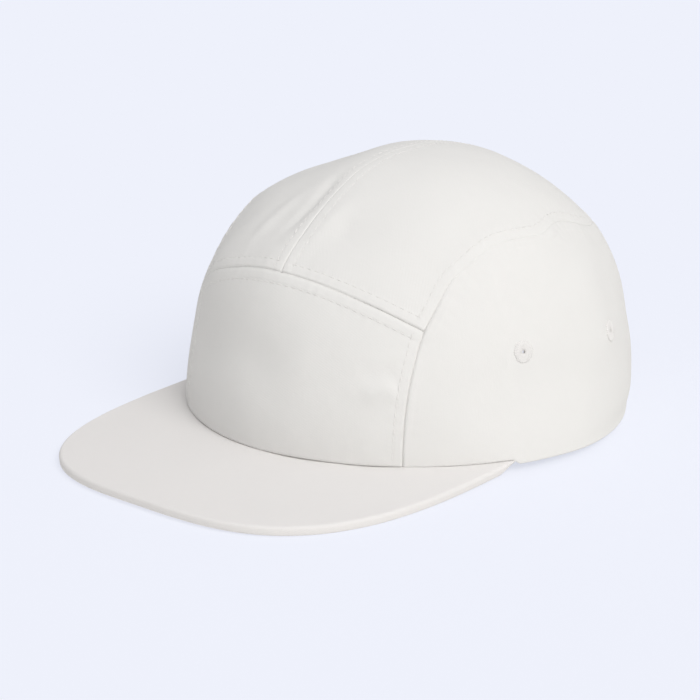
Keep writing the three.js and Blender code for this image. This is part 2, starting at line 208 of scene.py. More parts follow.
def crownPoint(turn, rise):
    turn, rise = np.broadcast_arrays(np.asarray(turn, float), np.asarray(rise, float))
    power, swell = profile(turn)
    share = np.sin(rise) ** (2 / power)
    reach = np.maximum(0, np.cos(rise)) ** (2 / power) * (1 + 4 * swell * share * (1 - share))
    footX, footY = hemPlan(turn)
    point = np.stack([footX * reach, footY * reach, mix(hemHeight(turn), crown["height"], share)], -1)
    sink = np.zeros(turn.shape)
    for across, along, up, wide, long, tall, depth in dents:
        reachAlong = crown["frontReach"] if along < 0 else crown["backReach"]
        a = (point[..., 0] / crown["halfWidth"] - across) / wide
        b = (point[..., 1] - along * reachAlong) / (long * crown["halfWidth"])
        c = (point[..., 2] - up * crown["height"]) / (tall * crown["halfWidth"])
        sink += depth * crown["height"] * np.exp(-(a * a + b * b + c * c))
    inward = np.array([0, 0, crown["height"] / 3]) - point
    inward /= np.linalg.norm(inward, axis=-1, keepdims=True)
    return point + inward * sink[..., None] + np.array([0, crown["middle"], 0])


def unit(vectors):
    return vectors / np.maximum(np.linalg.norm(vectors, axis=-1, keepdims=True), 1e-12)


def crownNormal(turn, rise):
    step = 0.004
    turn, rise = np.broadcast_arrays(np.asarray(turn, float), np.asarray(rise, float))
    at = np.clip(rise, 0, np.pi / 2 - 4 * step)
    around = crownPoint(turn + step, at) - crownPoint(turn - step, at)
    upward = crownPoint(turn, at + step) - crownPoint(turn, np.maximum(0, at - step))
    return unit(np.cross(around, upward))


def riseAtHeight(turn, height):
    hem = hemHeight(turn)
    share = np.clip((height - hem) / (crown["height"] - hem), 0, 1)
    return np.arcsin(share ** (profile(turn)[0] / 2))


# Turn at which something measured on the crown grows or shrinks to a value
def turnWhere(measure, value, low, high):
    low, high = np.broadcast_arrays(low, high)
    low, high = low.astype(float), high.astype(float)
    growing = measure(high) > measure(low)
    for _ in range(40):
        middle = (low + high) / 2
        before = (measure(middle) < value) == growing
        low, high = np.where(before, middle, low), np.where(before, high, middle)
    return (low + high) / 2


cornerHeight = panelPlan["frontSeamHeight"] - panelPlan["frontSeamDrop"]
cornerTurn = float(turnWhere(lambda turn: crownPoint(turn, riseAtHeight(turn, cornerHeight))[..., 0],
                             panelPlan["frontHalfWidth"], 0.0, widestTurn))
cornerRise = float(riseAtHeight(cornerTurn, cornerHeight))


def climbAt(around):
    places, climbs = sideSeam[:, 0], sideSeam[:, 1]
    last = len(places) - 1
    before, after = np.maximum(np.arange(last + 1) - 1, 0), np.minimum(np.arange(last + 1) + 1, last)
    slopes = (climbs[after] - climbs[before]) / (places[after] - places[before])
    i = np.clip(np.searchsorted(places, around, side="right") - 1, 0, last - 1)
    width = places[i + 1] - places[i]
    s = (around - places[i]) / width
    fromStart = climbs[i] * (2 * s ** 3 - 3 * s ** 2 + 1) + slopes[i] * width * (s ** 3 - 2 * s ** 2 + s)
    fromEnd = climbs[i + 1] * (3 * s ** 2 - 2 * s ** 3) + slopes[i + 1] * width * (s ** 3 - s ** 2)
    return fromStart + fromEnd


def seamHeight(turn):
    away = np.abs(turn)
    front = panelPlan["frontSeamHeight"] - panelPlan["frontSeamDrop"] * (away / cornerTurn) ** 2
    around = np.clip((away - cornerTurn) / (np.pi - cornerTurn), 0, 1)
    side = mix(cornerHeight, panelPlan["sideSeamHeight"], climbAt(around))
    return np.where(away <= cornerTurn, front, side)


# above is 1 for the top panels and -1 for the panels below the seam
def seamRise(turn, above):
    return riseAtHeight(turn, seamHeight(turn) - above * crown["overlap"] / 2)


def uprightTurn(rise, width):
    return turnWhere(lambda turn: crownPoint(turn, rise)[..., 0], width, 0 * rise, widestTurn)


# The seam between the top panels and those below, as turns and rises
def alongSeam(turns, side=1):
    return side * turns, riseAtHeight(turns, seamHeight(turns))


# ---- cloth

# Fine rows beside a sewn edge, in metres from it, where the cloth rolls down into its seam
edgeRows = np.array([0, 0.07, 0.2, 0.4, 0.65, 0.95, 1.3, 1.75, 2.3, 2.9, 3.4, 3.8, 4.2, 4.7, 5.3, 6.0]) / 1000


def gradedShares(length, spacing, start=True, end=True):
    first = edgeRows if start else edgeRows[:1]
    last = length - (edgeRows[::-1] if end else edgeRows[:1])
    between = max(2, round((last[0] - first[-1]) / spacing))
    middle = np.linspace(first[-1], last[0], between + 1)[1:-1]
    return np.concatenate([first, middle, last]) / length


def runLengths(curve):
    return np.concatenate([[0], np.cumsum(np.linalg.norm(np.diff(curve, axis=0), axis=1))])


# A smooth random height between about -1 and 1, the same for every piece at the same place
def softNoise(points, size, seed, waves=9, calm=4, pitches=(0.6, 1.5)):
    draw = np.random.default_rng(seed)
    total = np.zeros(points.shape[:-1])
    for _ in range(waves):
        way = unit(draw.normal(size=3))
        pitch = 2 * np.pi / size
        total += np.sin(points @ way * pitch * draw.uniform(*pitches) + draw.uniform(0, 2 * np.pi))
    return total / calm


# How each kind of edge is finished, in metres. roll: how far the cloth turns down, over rollWidth. band: how
# far the folded allowance lifts the cloth, up to the stitch row. dip: how deep the row pulls in. pucker: how
# high the small waves along the row are, one to each period.
styleColumns = ("roll", "rollWidth", "band", "stitch", "dip", "pucker", "period")
styleRows = {
    "frontTop": (0.0011, 0.0021, 0.00018, 0.0045, 0.00006, 0.00005, 0.0052),
    "topFront": (0.0007, 0.0009, 0.00024, 0.0038, 0.00007, 0.00005, 0.0052),
    "upright": (0.0010, 0.0010, 0.00010, 0.0038, 0.00005, 0.00004, 0.0064),
    "sideUpright": (0.0010, 0.0011, 0.00010, 0.0026, 0.0, 0.00003, 0.0064),
    "sideTop": (0.0008, 0.0013, 0.00010, 0.0042, 0.00006, 0.00006, 0.0058),
    "centre": (0.0005, 0.0010, 0.00010, 0.0038, 0.00007, 0.00004, 0.0056),
    "back": (0.0007, 0.0012, 0.00015, 0.0040, 0.00010, 0.00005, 0.0060),
    "hem": (0.0006, 0.0011, 0.0, 0.0060, 0.0, 0.00003, 0.0110),
    "sideHem": (0.0003, 0.0009, 0.0, 0.0060, 0.0, 0.00003, 0.0110),
    "opening": (0.0007, 0.0012, 0.00018, 0.0055, 0.00010, 0.00006, 0.0060),
}
edgeStyles = {name: dict(zip(styleColumns, row)) for name, row in styleRows.items()}

# What is left of the roll at places along a seam, in metres from where its curve starts: at the front, or for
# frontTop at the wearer's right
heldRolls = {
    "frontTop": ((0.0, 0.3), (0.022, 0.4), (0.040, 1.0), (0.3, 1.0)),
    "sideTop": ((0.0, 1.2), (0.012, 0.9), (0.026, 0.25), (0.070, 0.20), (0.084, 0.40), (0.3, 0.8)),
    "centre": ((0.0, 1.0), (0.026, 0.9), (0.042, 0.4), (0.12, 0.4), (0.16, 0.9), (0.3, 0.9)),
}
seamLook = {
    "bandFade": 0.0016,       # over which the lifted band ends at the stitch row
    "dipWidth": 0.0006,
    "wander": 2.2,            # how unevenly the puckers follow each other
    "wanderSize": 0.022,
    "secondWave": (0.5, 1.7, 1.9),   # its height, period and wander as shares of the first one's
    "puckerReach": 0.0034,
    "puckerStart": 0.0012,
    "firstSeed": 20,
}


# Distance from every point to an edge, and how far along the edge the nearest place is
def nearEdge(points, edge):
    tree = KDTree(len(edge))
    for i, place in enumerate(edge):
        tree.insert(place, i)
    tree.balance()
    along = runLengths(edge)
    flat = points.reshape(-1, 3)
    nearest = np.array([tree.find(place)[1] for place in flat])
    away = np.full(len(flat), np.inf)
    where = np.zeros(len(flat))
    for first in (np.maximum(nearest - 1, 0), np.minimum(nearest, len(edge) - 2)):
        start, step = edge[first], edge[first + 1] - edge[first]
        share = np.clip(((flat - start) * step).sum(-1) / np.maximum((step * step).sum(-1), 1e-18), 0, 1)
        gap = np.linalg.norm(flat - start - share[:, None] * step, axis=-1)
        nearer = gap < away
        away = np.where(nearer, gap, away)
        where = np.where(nearer, along[first] + share * (along[first + 1] - along[first]), where)
    return away.reshape(points.shape[:-1]), where.reshape(points.shape[:-1])


# How far a rolled edge has dropped: 1 at the edge itself, 0 from width inwards
def rollShare(away, width):
    return 1 - np.sqrt(np.maximum(0, 1 - (1 - np.clip(away / width, 0, 1)) ** 2))


def edgeRelief(points, edge, styleName, seed, look):
    style = edgeStyles[styleName]
    away, along = nearEdge(points, edge)
    held = np.array(heldRolls.get(styleName, ((0, 1), (1, 1))))
    relief = -style["roll"] * np.interp(along, held[:, 0], held[:, 1]) * rollShare(away, style["rollWidth"])
    relief += style["band"] * smoothStep((style["stitch"] + look["bandFade"] / 2 - away) / look["bandFade"])
    relief -= style["dip"] * hill(away - style["stitch"], look["dipWidth"])
    wander = look["wander"] * softNoise(points, look["wanderSize"], seed)
    height, period, stray = look["secondWave"]
    wave = np.sin(2 * np.pi * along / style["period"] + wander) + height * np.sin(
        2 * np.pi * along / (period * style["period"]) + stray * wander)
    beyond = np.maximum(0, away - style["stitch"])
    puckers = style["pucker"] * wave * hill(beyond, look["puckerReach"])
    return relief + puckers * smoothStep(away / look["puckerStart"])


# Soft folds: height and width in metres, then the turns and rises in degrees that each one runs through
sideSwelling = ((48, 34), (51, 38), (54.5, 42), (60.5, 45.5), (68, 49), (76.5, 51), (85, 49.5))
folds = {
    "valley beside the centre seam": (
        -0.0010, 0.0030, ((-8.5, 46), (-8, 53), (-7.5, 58.5), (-9, 65), (-13.5, 72))),
    "ridge on the wearer's right": (0.0008, 0.0036, ((-21, 43), (-21.5, 50), (-21.5, 55), (-21, 61))),
    "ridge left of the centre seam": (0.0004, 0.0032, ((3.5, 44), (5.5, 50), (7.5, 56), (11, 62.5))),
    "hollow in the top, left": (-0.0004, 0.0038, ((13.5, 49), (14.5, 52), (16.5, 57))),
    "swelling of the side seam, left": (0.0007, 0.0042, sideSwelling),
    "swelling of the side seam, right": (0.0006, 0.0042, [(-turn, rise) for turn, rise in sideSwelling]),
    "gather on the side seam": (0.0003, 0.0018, ((59, 42), (60.5, 43.5))),
    "corner of the side seam": (0.0005, 0.0022, ((94, 44.5), (99.5, 47), (104.5, 49))),
    "buckle in the front panel": (0.0008, 0.0042, ((27, 13.5), (33, 15), (37, 15.5))),
    "hollow above the buckle": (-0.0006, 0.0038, ((26, 17.5), (32.5, 18.5), (37, 19))),
    "slack along the side": (-0.0006, 0.0080, ((45, 14.5), (61, 14.5), (80, 15.5), (99, 14))),
    "fullness under the front seam": (
        0.0026, 0.0160, ((-48, 29), (-35, 35), (-20, 39), (-5, 40), (10, 39))),
    "hollow of the front panel": (-0.0024, 0.0150, ((-45, 15), (-25, 17), (-5, 18.5), (14, 19))),
    "fullness behind the rear eyelet": (0.0020, 0.0190, ((101, 10), (102, 20), (101, 29), (98, 38))),
    "hem turned in, left": (
        -0.0013, 0.0050, ((90, 0.5), (104, 0.5), (119, 0.5), (134, 0.5), (149, 0.5))),
}
foldFade = {"share": 0.3, "left": 0.25}   # share of a fold's run at each end, and what is left of it there


def foldRelief(points, height, width, through):
    turns, rises = (np.radians([place[k] for place in through]) for k in (0, 1))
    stops = np.linspace(0, 1, len(turns))
    fine = np.linspace(0, 1, 5 * len(turns))
    curve = crownPoint(np.interp(fine, stops, turns), np.interp(fine, stops, rises))
    away = np.full(points.shape[:-1], np.inf)
    share = np.zeros(points.shape[:-1])
    for i in range(len(curve) - 1):
        step = curve[i + 1] - curve[i]
        along = np.clip((points - curve[i]) @ step / (step @ step), 0, 1)
        gap = np.linalg.norm(points - curve[i] - along[..., None] * step, axis=-1)
        share = np.where(gap < away, (i + along) / (len(curve) - 1), share)
        away = np.minimum(away, gap)
    fade = smoothStep(share / foldFade["share"]) * smoothStep((1 - share) / foldFade["share"])
    return height * hill(away, width) * mix(foldFade["left"], 1, fade)


# Slack of the cloth: height, size and seed of each kind of unevenness, in metres
slackWaves = ((0.00014, 0.030, 11), (0.00018, 0.062, 12), (0.00003, 0.011, 13))


def clothWaves(points):
    waves = sum(height * softNoise(points, size, seed) for height, size, seed in slackWaves)
    return sum((foldRelief(points, *fold) for fold in folds.values()), waves)


def selectOnly(piece):
    bpy.ops.object.select_all(action="DESELECT")
    piece.select_set(True)
    bpy.context.view_layer.objects.active = piece


def addPrimitive(name, operator, **settings):
    bpy.ops.object.select_all(action="DESELECT")
    operator(**settings)
    piece = bpy.context.object
    piece.name = piece.data.name = name
    return piece


def editAll(piece, operator, **settings):
    selectOnly(piece)
    bpy.ops.object.mode_set(mode="EDIT")
    bpy.ops.mesh.select_all(action="SELECT")
    operator(**settings)
    bpy.ops.object.mode_set(mode="OBJECT")


def readPlaces(mesh):
    places = np.empty(len(mesh.vertices) * 3)
    mesh.vertices.foreach_get("co", places)
    return places.reshape(-1, 3)


def writeUvs(mesh, layer, uvs):
    corners = np.empty(len(mesh.loops), dtype=np.int32)
    mesh.loops.foreach_get("vertex_index", corners)
    layer.data.foreach_set("uv", uvs[corners].ravel())


def smooth(mesh):
    mesh.polygons.foreach_set("use_smooth", [True] * len(mesh.polygons))
    mesh.update()


def meshPiece(name, points, faces, uvs=None):
    mesh = bpy.data.meshes.new(name)
    mesh.from_pydata(points.tolist(), [], faces)
    if uvs is not None:
        writeUvs(mesh, mesh.uv_layers.new(name="cloth"), uvs)
    smooth(mesh)
    piece = bpy.data.objects.new(name, mesh)
    bpy.context.collection.objects.link(piece)
    return piece


def gridFaces(rows, columns):
    corner = np.arange(rows * columns).reshape(rows, columns)
    quads = [corner[:-1, :-1], corner[1:, :-1], corner[1:, 1:], corner[:-1, 1:]]
    return np.stack(quads, -1).reshape(-1, 4)


# Lengths along both directions of a grid, as the cloth lies flat
def clothLengths(points):
    down = np.linalg.norm(np.diff(points, axis=0), axis=-1)
    over = np.linalg.norm(np.diff(points, axis=1), axis=-1)
    u = np.concatenate([np.zeros((1, points.shape[1])), np.cumsum(down, 0)])
    v = np.concatenate([np.zeros((points.shape[0], 1)), np.cumsum(over, 1)], 1)
    return u, v


def applyModifiers(piece):
    selectOnly(piece)
    for modifier in list(piece.modifiers):
        bpy.ops.object.modifier_apply(modifier=modifier.name)


def thicken(piece, thickness, even=False):
    wall = piece.modifiers.new("wall", "SOLIDIFY")
    wall.thickness = thickness
    wall.offset = -1
    wall.use_even_offset = even
    applyModifiers(piece)


# Cuts a round hole whose edge lies on a true circle
def cutHole(piece, centre, out, radius, nearby=4, margin=1.08):
    work = bmesh.new()
    work.from_mesh(piece.data)
    centre, out = Vector(centre), Vector(out)

    def flat(place):
        away = place - centre
        return away - out * away.dot(out)

    near = [face for face in work.faces if (face.calc_center_median() - centre).length < nearby * radius]
    gone = [face for face in near if flat(face.calc_center_median()).length < radius * margin]
    rim = {vert for face in gone for vert in face.verts}
    bmesh.ops.delete(work, geom=gone, context="FACES")
    for vert in rim:
        if vert.is_valid and vert.link_faces:
            away = flat(vert.co)
            vert.co += away.normalized() * (radius - away.length)
    work.to_mesh(piece.data)
    work.free()


panels = {}


# Lays a sheet over points of the crown, raised along their normals, with its faces outward
def layCloth(name, base, normal, relief, mirrored=False):
    points = base + normal * relief[..., None]
    u, v = clothLengths(base)
    faces = gridFaces(*relief.shape)
    places = points.reshape(-1, 3)
    a, b, c = (places[faces[:, k]] for k in range(3))
    if (np.cross(b - a, c - a) * normal.reshape(-1, 3)[faces[:, 0]]).sum() < 0:
        faces = faces[:, ::-1]
    uvs = np.stack([-u if mirrored else u, v], -1).reshape(-1, 2)
    panels[name] = {"piece": meshPiece(name, places, faces.tolist(), uvs),
                    "surface": BVHTree.FromPolygons(places.tolist(), faces.tolist())}
    print(name, len(faces), "faces, cloth", round(float(u.max()), 4), "by", round(float(v.max()), 4))
    return points


# A panel over a grid of turns and rises. edges maps a name to the turns and rises of its curve and its style.
def clothPanel(name, turn, rise, edges, mirrored=False):
    base, normal = crownPoint(turn, rise), crownNormal(turn, rise)
    relief = clothWaves(base)
    curves = {}
    for i, (edge, (edgeTurn, edgeRise, style)) in enumerate(edges.items()):
        curves[edge] = (crownPoint(edgeTurn, edgeRise), crownNormal(edgeTurn, edgeRise),
                        edgeStyles[style]["stitch"])
        relief = relief + edgeRelief(base, curves[edge][0], style, seamLook["firstSeed"] + i,
                                     seamLook)
    layCloth(name, base, normal, relief, mirrored)
    panels[name]["edges"] = curves


# Lengths in metres over which the grids of the panels are laid out, and how many points their edges have
grids = {
    "spacing": 0.0010,
    "front": (0.128, 0.068),
    "sideHeight": 0.080,
    "top": (0.200, 0.068),
    "edgePoints": 400,
    "middlePoints": 500,      # for edges that cross or follow the middle of the cap
    "sidePoints": 700,
    "cornerPoints": 260,
    "archPoints": 240,
    "backPoints": 80,
    "bowAtFoot": 0.7,         # share of the way round where the hem meets the opening
}
spacing = grids["spacing"]

# Front panel
across, climb = (gradedShares(length, spacing) for length in grids["front"])
frontUprights = uprightTurn(climb * cornerRise, panelPlan["frontHalfWidth"] + crown["overlap"] / 2)
frontShare = (2 * across - 1)[:, None]
frontTops = seamRise(frontShare * cornerTurn, -1)
frontTurn = frontShare * frontUprights[None, :]
frontRise = climb[None, :] * frontTops
fineShares = np.linspace(0, 1, grids["edgePoints"])
uprightFine = uprightTurn(fineShares * cornerRise, panelPlan["frontHalfWidth"])
hemCornerTurn = float(uprightFine[0])

clothPanel("front_cloth", frontTurn, frontRise, {
    "hem": (np.linspace(-hemCornerTurn, hemCornerTurn, grids["middlePoints"]), 0.0, "hem"),
    "left": (uprightFine, fineShares * cornerRise, "upright"),
    "right": (-uprightFine, fineShares * cornerRise, "upright"),
    "top": (*alongSeam(np.linspace(-cornerTurn, cornerTurn, grids["middlePoints"])), "frontTop"),
})

# Side panels, cut out round the half-moon opening
opening = {"halfWidth": 0.043, "height": 0.046, "firstTurn": 120}   # the turn in degrees, before its foot


def openingTurn(angle):
    height = opening["height"] * np.sin(angle)
    width = opening["halfWidth"] * np.cos(angle)
    firstTurn = math.radians(opening["firstTurn"])
    return turnWhere(lambda turn: crownPoint(turn, riseAtHeight(turn, height))[..., 0], width,
                     firstTurn + 0 * angle, math.pi)


openingAngles = np.linspace(0, math.pi / 2, grids["archPoints"])
openingTurns = openingTurn(openingAngles)
openingRises = riseAtHeight(openingTurns, opening["height"] * np.sin(openingAngles))
openingTurns[-1] = math.pi
footTurn = float(openingTurns[0])
hemTurns = np.linspace(hemCornerTurn, footTurn, grids["edgePoints"])
hemColumns = gradedShares(float(runLengths(crownPoint(hemTurns, 0.0))[-1]), spacing)
archLengths = runLengths(crownPoint(openingTurns, openingRises))
archColumns = gradedShares(float(archLengths[-1]), spacing, start=False)[1:]
sideRows = gradedShares(grids["sideHeight"], spacing)


def sidePanel(name, side):
    footTurns = np.concatenate([mix(hemCornerTurn, footTurn, hemColumns),
                                np.interp(archColumns * archLengths[-1], archLengths, openingTurns)])
    footRises = np.concatenate([np.zeros(len(hemColumns)),
                                np.interp(archColumns * archLengths[-1], archLengths, openingRises)])
    topTurns = np.concatenate([mix(cornerTurn, footTurn, hemColumns), mix(footTurn, math.pi, archColumns)])
    topRises = seamRise(topTurns, -1)
    rows = sideRows[None, :]
    upright = uprightTurn(sideRows * cornerRise, panelPlan["frontHalfWidth"] - crown["overlap"] / 2)
    bow = upright - mix(hemCornerTurn, cornerTurn, sideRows)
    foot = grids["bowAtFoot"]
    fade = (1 - np.concatenate([hemColumns * foot, mix(foot, 1, archColumns)]))[:, None] ** 2
    turn = mix(footTurns[:, None], topTurns[:, None], rows) + fade * bow[None, :]
    rise = mix(footRises[:, None], topRises[:, None], rows)
    backTop = float(alongSeam(math.pi)[1])
    backRise = np.linspace(float(openingRises[-1]), backTop, grids["backPoints"])
    clothPanel(name, side * turn, rise, {
        "hem": (side * hemTurns, 0.0, "sideHem"),
        "upright": (side * uprightFine, fineShares * cornerRise, "sideUpright"),
        "top": (*alongSeam(np.linspace(cornerTurn, math.pi, grids["sidePoints"]), side), "sideTop"),
        "back": (side * math.pi, backRise, "back"),
        "opening": (side * openingTurns, openingRises, "opening"),
    }, mirrored=side < 0)


sidePanel("side_cloth_left", 1)
sidePanel("side_cloth_right", -1)

# Top panels. The plan of a panel is laid out round the top of the crown, then carried onto it.
topColumns, topRows = (gradedShares(length, spacing) for length in grids["top"])


def polar(turn, rise):
    away = np.pi / 2 - rise
    return np.stack([away * np.sin(turn), -away * np.cos(turn)], -1)


def topPanel(name, side):
    frontEdge = polar(cornerTurn * topRows, seamRise(cornerTurn * topRows, 1))
    rimTurns = mix(cornerTurn, math.pi, topColumns)
    rim = polar(rimTurns, seamRise(rimTurns, 1))
    start, end = polar(0.0, seamRise(0.0, 1)), polar(math.pi, seamRise(math.pi, 1))
    centre = start[None] + (end - start)[None] * topColumns[:, None]
    grid = mix(centre[:, None, :], rim[:, None, :], topRows[None, :, None])
    corner = mix(centre[0][None], rim[0][None], topRows[:, None])
    grid += ((1 - topColumns) ** 2)[:, None, None] * (frontEdge - corner)[None]
    turn = np.arctan2(np.maximum(grid[..., 0], 0), -grid[..., 1])
    rise = np.pi / 2 - np.hypot(grid[..., 0], grid[..., 1])
    centreShare = np.linspace(0, 1, grids["middlePoints"])
    centreAway = mix(float(start[1]), float(end[1]), centreShare)
    centreTurns = np.where(centreAway < 0, 0.0, side * math.pi)
    clothPanel(name, side * turn, rise, {
        "front": (*alongSeam(np.linspace(0, cornerTurn, grids["cornerPoints"]), side), "topFront"),
        "side": (*alongSeam(np.linspace(cornerTurn, math.pi, grids["sidePoints"]), side), "sideTop"),
        "centre": (centreTurns, np.pi / 2 - np.abs(centreAway), "centre"),
    }, mirrored=side > 0)


topPanel("top_cloth_left", 1)
topPanel("top_cloth_right", -1)
print("panels shaped")

# ---- brim: covered board

brimLook = {
    "columns": 300,
    "rows": 72,
    "crowding": 1.8,          # how much closer together the rows lie towards the rim
    "edgeRound": 0.0012,
    "under": 0.0016,          # how far the brim runs in under the crown
    "outlinePoints": 6001,
    "slack": 0.00012,         # gentle unevenness of the cover, raised by slackLift and less towards the rim
    "slackSize": 0.030,
    "slackLift": 1.2,
    "slackFade": 0.7,
    "slackSeed": 31,
    "taper": 0.010,           # how far from its ends the board begins to thin
    "endShare": 0.3,          # what is left of its thickness there
}


def makeBrim(look):
    outX, outY = brimOutline(np.linspace(0, 1, look["outlinePoints"]))
    lengths = runLengths(np.stack([outX, outY], -1))
    piece = addPrimitive("brim_cover", bpy.ops.mesh.primitive_grid_add, x_subdivisions=look["columns"],
                         y_subdivisions=look["rows"], size=1)
    places = readPlaces(piece.data)
    share, row = places[:, 0] + 0.5, places[:, 1] + 0.5
    outerX = np.interp(share * lengths[-1], lengths, outX)
    outerY = np.interp(share * lengths[-1], lengths, outY)
    innerX, innerY = hemPlan(mix(1, -1, share) * brimPlan["spread"], look["under"])
    row = 1 - (1 - row) ** look["crowding"]
    x, y = mix(innerX, outerX, row), mix(innerY, outerY, row)
    points = np.stack([x, y + crown["middle"], brimTop(x, y)], -1)
    uneven = look["slackLift"] + softNoise(points, look["slackSize"], look["slackSeed"])
    points[:, 2] += look["slack"] * uneven * (1 - look["slackFade"] * row)
    piece.data.vertices.foreach_set("co", points.ravel())
    piece.data.update()
    if piece.data.polygons[0].normal.z < 0:
        piece.data.flip_normals()
    thicken(piece, brimPlan["thickness"])
    mesh = piece.data
    points = readPlaces(mesh)
    y = points[:, 1] - crown["middle"]
    left = mix(look["endShare"], 1, smoothStep((brimEndY - y) / look["taper"]))
    top = brimTop(points[:, 0], y)
    above = points[:, 2] > top - brimPlan["thickness"] / 2
    rim = np.stack([outX, outY + crown["middle"], 0 * outX], -1)
    fromRim = nearEdge(points * np.array([1, 1, 0]), rim)[0]
    roll = look["edgeRound"] * rollShare(fromRim, look["edgeRound"])
    points[:, 2] = np.where(above, points[:, 2] - roll * left, mix(top, points[:, 2] + roll, left))
    mesh.vertices.foreach_set("co", points.ravel())
    mesh.uv_layers[0].name = "cloth"
    writeUvs(mesh, mesh.uv_layers[0], np.stack([points[:, 0], points[:, 1] + points[:, 2]], -1))
    smooth(mesh)


makeBrim(brimLook)

# ---- bands inside the hem and across the opening

bands = {
    "depth": 0.0022,          # outside of the crown to the outside of a band
    "sweatHeight": 0.028,
    "sweatLift": 0.0008,
    "sweatCloth": 0.0010,
    "strapHeight": 0.020,
    "strapLift": 0.0026,
    "strapCloth": 0.0014,
    "strapTuck": 0.012,
    "strapGap": 0.0003,
    "edgeDrop": 0.0003,       # how far a band's edges turn down, over edgeWidth
    "edgeWidth": 0.0008,
    "stitch": 0.0022,
    "dip": 0.00012,
    "dipWidth": 0.0005,
    "rippleSize": 0.021,
    "rippleStart": 0.004,
    "rippleSeed": 41,
    "spacing": 0.0012,
    "sweatRipple": 0.00015,
    "strapRipple": 0.00008,
    "sweatColumns": 420,
    "strapColumns": 120,
}
strapHalfTurn = math.asin(opening["halfWidth"] / crown["backReach"]) + bands["strapTuck"] / crown["backReach"]


# A band of cloth that follows the inside of the crown from low upwards
def bentSheet(name, turns, low, tall, ripple):
    rows = gradedShares(tall, bands["spacing"])
    low = low[:, None]
    high = low + tall
    height = mix(low, high, rows[None, :])
    turn = turns[:, None] + 0 * height
    rise = riseAtHeight(turn, height)
    base, normal = crownPoint(turn, rise), crownNormal(turn, rise)
    fromEdge = np.minimum(rows, 1 - rows)[None, :] * (high - low)
    relief = -bands["depth"] - bands["edgeDrop"] * rollShare(fromEdge, bands["edgeWidth"])
    relief = relief - bands["dip"] * hill(fromEdge - bands["stitch"], bands["dipWidth"])
    uneven = ripple * softNoise(base, bands["rippleSize"], bands["rippleSeed"])
    relief = relief + uneven * smoothStep(fromEdge / bands["rippleStart"]) + clothWaves(base)
    points = layCloth(name, base, normal, relief)
    panels[name]["edges"] = {edge: (points[:, k], normal[:, k], bands["stitch"])
                             for edge, k in (("low", 0), ("high", -1))}


sweatEnd = math.pi - strapHalfTurn - bands["strapGap"] / crown["backReach"]
sweatTurns = np.linspace(-sweatEnd, sweatEnd, bands["sweatColumns"])
bentSheet("sweatband_cloth", sweatTurns, hemHeight(sweatTurns) + bands["sweatLift"], bands["sweatHeight"],
          bands["sweatRipple"])
strapTurns = np.linspace(math.pi - strapHalfTurn, math.pi + strapHalfTurn, bands["strapColumns"])
bentSheet("strap_cloth", strapTurns, np.full_like(strapTurns, bands["strapLift"]), bands["strapHeight"],
          bands["strapRipple"])

buckle = {
    "halfWidth": 0.012,
    "wall": 0.0015,
    "clearance": 0.0004,
    "round": 0.0005,
    "segments": 4,
    "cuts": 11,
    "roundedFrom": 40,        # angles in degrees between faces
    "creasedFrom": 50,
}


# Carries a point from straight measures onto the back of the crown
def onBack(across, depth, height):
    turn = math.pi + across / crown["backReach"]
    rise = riseAtHeight(turn, height)
    return crownPoint(turn, rise) - crownNormal(turn, rise) * depth[:, None]


def makeBuckle(look):
    grow = look["clearance"] + look["wall"]
    size = (2 * look["halfWidth"], bands["strapCloth"] + 2 * grow, bands["strapHeight"] + 2 * grow)
    piece = addPrimitive("buckle_sleeve", bpy.ops.mesh.primitive_cube_add, size=1)
    bpy.ops.object.mode_set(mode="EDIT")
    work = bmesh.from_edit_mesh(piece.data)
    for vert in work.verts:
        vert.co = Vector((vert.co.x * size[0], vert.co.y * size[1], vert.co.z * size[2]))
    for face in work.faces:
        face.select = abs(face.calc_center_median().x) > 0.4 * size[0]
    bmesh.update_edit_mesh(piece.data)
    bpy.ops.mesh.delete(type="ONLY_FACE")
    work = bmesh.from_edit_mesh(piece.data)
    for edge in work.edges:
        edge.select = abs(edge.verts[0].co.x - edge.verts[1].co.x) > 0.5 * size[0]
    bmesh.update_edit_mesh(piece.data)
    bpy.ops.mesh.subdivide(number_cuts=look["cuts"])
    bpy.ops.object.mode_set(mode="OBJECT")
    thicken(piece, look["wall"], even=True)
    rounding = piece.modifiers.new("rounding", "BEVEL")
    rounding.width = look["round"]
    rounding.segments = look["segments"]
    rounding.limit_method = "ANGLE"
    rounding.angle_limit = math.radians(look["roundedFrom"])
    applyModifiers(piece)
    places = readPlaces(piece.data)
    middleDepth = bands["depth"] + bands["strapCloth"] / 2
    middleHeight = bands["strapLift"] + bands["strapHeight"] / 2
    points = onBack(places[:, 0], middleDepth + places[:, 1], middleHeight + places[:, 2])
    piece.data.vertices.foreach_set("co", points.ravel())
    smooth(piece.data)
    editAll(piece, bpy.ops.mesh.normals_make_consistent, inside=False)
    bpy.ops.object.shade_smooth_by_angle(angle=math.radians(look["creasedFrom"]))


makeBuckle(buckle)
print("brim, bands and buckle shaped")

# ---- eyelets: rings of stitches over a punched hole

eyeletLook = {
    "outside": 0.0042,
    "hole": 0.0006,
    "proud": 0.0006,
    "stitches": 30,
    "ridge": 0.00016,
    "ridgePower": 0.7,
    "ridgeMean": 0.6,
    "innerRidge": 0.4,
    "ragged": 0.00022,        # how unevenly long the stitches are
    "raggedFrom": 0.2,
    "seed": 51,
    "through": 0.0006,        # how far the ring passes the inside of the cloth
    "punch": 0.0024,
    "segmentsEach": 7,
    "segmentsRound": 18,
}
eyelets = {"front": (math.radians(70.5), 0.0443), "rear": (math.radians(105.5), 0.0410)}


